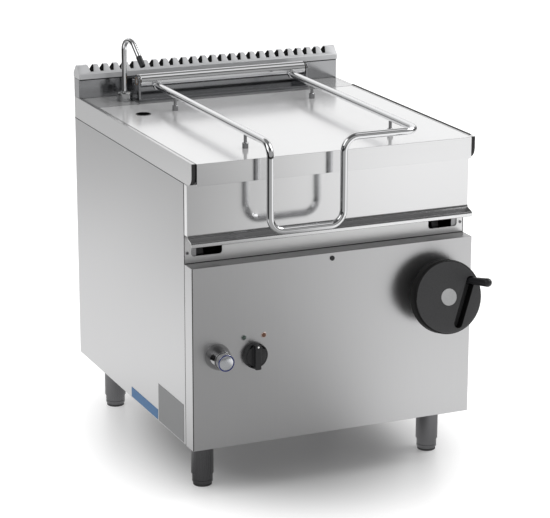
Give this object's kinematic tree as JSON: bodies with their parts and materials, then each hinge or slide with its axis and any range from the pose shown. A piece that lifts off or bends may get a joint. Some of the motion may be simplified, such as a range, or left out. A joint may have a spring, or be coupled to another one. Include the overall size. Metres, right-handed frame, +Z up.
{
  "type": "tilting bratt pan",
  "caption": "Stainless cabinet on round legs with a lidded tilting pan, pouring lip, bent tube handle, water spout, control knobs and a leaning handwheel with folding grip.",
  "frame": {"origin": "middle of the footprint of the whole object, at floor level", "axes": "+X to the right seen from the front, +Y to the rear, +Z up; the front with the lip and handwheel faces -Y"},
  "size_m": [0.8006, 1.0694, 1.083],
  "materials": {
    "steel_side": "brushed stainless sheet, soft light grey",
    "steel_front": "brushed stainless sheet with a vertical grain",
    "steel_top": "bright ground stainless sheet",
    "steel_bright": "polished stainless and chromed parts",
    "steel_inner": "plain inner sheet and brackets",
    "steel_cooking": "ground cooking surface",
    "iron_dark": "dark plate and forged parts",
    "machined": "turned and milled steel",
    "brass": "plain brass",
    "bronze": "sintered bronze",
    "copper": "drawn copper tube",
    "black_plastic": "black phenolic, low sheen",
    "grey_plastic": "light grey cap",
    "cream_plastic": "moulded switch body",
    "black_rubber": "seal rubber",
    "blue_plastic": "dark blue ring",
    "lamp_green": "green lens",
    "lamp_orange": "orange lens",
    "element_sheath": "sheathed heating rod",
    "plate_grey": "bare aluminium plate"
  },
  "bodies": {
    "cabinet": {"left_side_panel": "steel_side", "right_side_panel": "steel_side", "back_panel": "steel_side", "bottom_tray": "steel_inner", "front_panel": "steel_front", "fascia_panel": "steel_front", "fascia_screws": "steel_bright", "deck_side_strips": "steel_side", "rear_deck": "steel_top", "flue_upstand": "steel_top", "flue_cap": "steel_top", "corner_posts": "steel_inner", "cross_beams": "steel_inner", "pivot_brackets": "steel_inner", "pivot_pins": "machined", "leg_sleeves": "machined", "side_plates_blank": "plate_grey", "lamp_green": "lamp_green", "lamp_orange": "lamp_orange", "regulator_body": "cream_plastic", "tap_bell": "steel_bright", "tap_valve_body": "brass", "water_pipe": "copper", "faucet_base": "steel_bright", "inlet_fittings": "brass", "electrical_unit": "cream_plastic", "spindle_bearings": "iron_dark"},
    "pan": {"pan_well": "steel_cooking", "pan_rim": "steel_cooking", "pan_apron": "steel_top", "pan_casing": "steel_inner", "pan_base_plate": "iron_dark", "heating_elements": "element_sheath", "heat_shield": "steel_inner", "pan_arms": "iron_dark", "bronze_bushes": "bronze", "lift_arm": "iron_dark", "lid_hinge_bracket": "steel_inner", "lid_hinge_housing": "steel_bright"},
    "lid": {"lid_skin": "steel_top", "lid_liner": "steel_inner", "fill_collar": "steel_bright", "lid_seal": "black_rubber", "hinge_tube": "steel_bright", "lid_handle": "steel_bright", "bar_posts": "steel_bright"},
    "handwheel": {"handwheel_disc": "black_plastic", "handwheel_cap": "grey_plastic", "screw_spindle": "machined"},
    "crank": {"crank_grip": "black_plastic"},
    "nut": {"nut_carriage": "iron_dark"},
    "spout": {"water_spout": "steel_bright", "spout_nozzle": "black_plastic"},
    "button": {"tap_button": "blue_plastic"},
    "knob": {"regulator_knob": "black_plastic"},
    "lock": {"panel_lock": "steel_bright"},
    "leg_fl": {"leg_front_left": "machined"},
    "leg_rl": {"leg_rear_left": "machined"},
    "leg_fr": {"leg_front_right": "machined"},
    "leg_rr": {"leg_rear_right": "machined"}
  },
  "joints": [
    {"name": "pan_tilt", "type": "hinge", "parent": "cabinet", "child": "pan", "pos_m": [0, -0.29725, 0.618], "axis": [1, 0, 0], "range_deg": [0, 67.5]},
    {"name": "lid_open", "type": "hinge", "parent": "pan", "child": "lid", "pos_m": [0, 0.39975, 0.956], "axis": [-1, 0, 0], "range_deg": [0, 55]},
    {"name": "handwheel_turn", "type": "hinge", "parent": "cabinet", "child": "handwheel", "pos_m": [0.296, -0.44025, 0.4908], "axis": [0, -0.9781, 0.2079], "range_deg": [0, 3240]},
    {"name": "nut_slide", "type": "slide", "parent": "cabinet", "child": "nut", "axis": [0, 0.9781, -0.2079], "range_m": [0, 0.162]},
    {"name": "crank_fold", "type": "hinge", "parent": "handwheel", "child": "crank", "pos_m": [0.364, -0.41956, 0.52321], "axis": [0.9205, -0.0812, -0.3822], "range_deg": [0, 90]},
    {"name": "spout_swivel", "type": "hinge", "parent": "cabinet", "child": "spout", "pos_m": [-0.29, 0.41575, 0.9], "axis": [0, 0, 1], "range_deg": [-90, 60]},
    {"name": "tap_press", "type": "slide", "parent": "cabinet", "child": "button", "axis": [0, 1, 0], "range_m": [0, 0.008], "stiffness_N_per_m": 400, "springref_m": -0.002},
    {"name": "knob_turn", "type": "hinge", "parent": "cabinet", "child": "knob", "pos_m": [-0.229, -0.36625, 0.378], "axis": [0, 1, 0], "range_deg": [0, 270]},
    {"name": "lock_turn", "type": "hinge", "parent": "cabinet", "child": "lock", "pos_m": [-0.009, -0.36625, 0.6125], "axis": [0, 1, 0], "range_deg": [0, 90]},
    {"name": "leg_fl_reach", "type": "slide", "parent": "cabinet", "child": "leg_fl", "axis": [0, 0, -1], "range_m": [0, 0.03]},
    {"name": "leg_rl_reach", "type": "slide", "parent": "cabinet", "child": "leg_rl", "axis": [0, 0, -1], "range_m": [0, 0.03]},
    {"name": "leg_fr_reach", "type": "slide", "parent": "cabinet", "child": "leg_fr", "axis": [0, 0, -1], "range_m": [0, 0.03]},
    {"name": "leg_rr_reach", "type": "slide", "parent": "cabinet", "child": "leg_rr", "axis": [0, 0, -1], "range_m": [0, 0.03]}
  ],
  "couplings": [
    {"joint": "handwheel_turn", "follows": "pan_tilt", "ratio": 48},
    {"joint": "nut_slide", "follows": "pan_tilt", "m_per_rad": 0.1375}
  ]
}
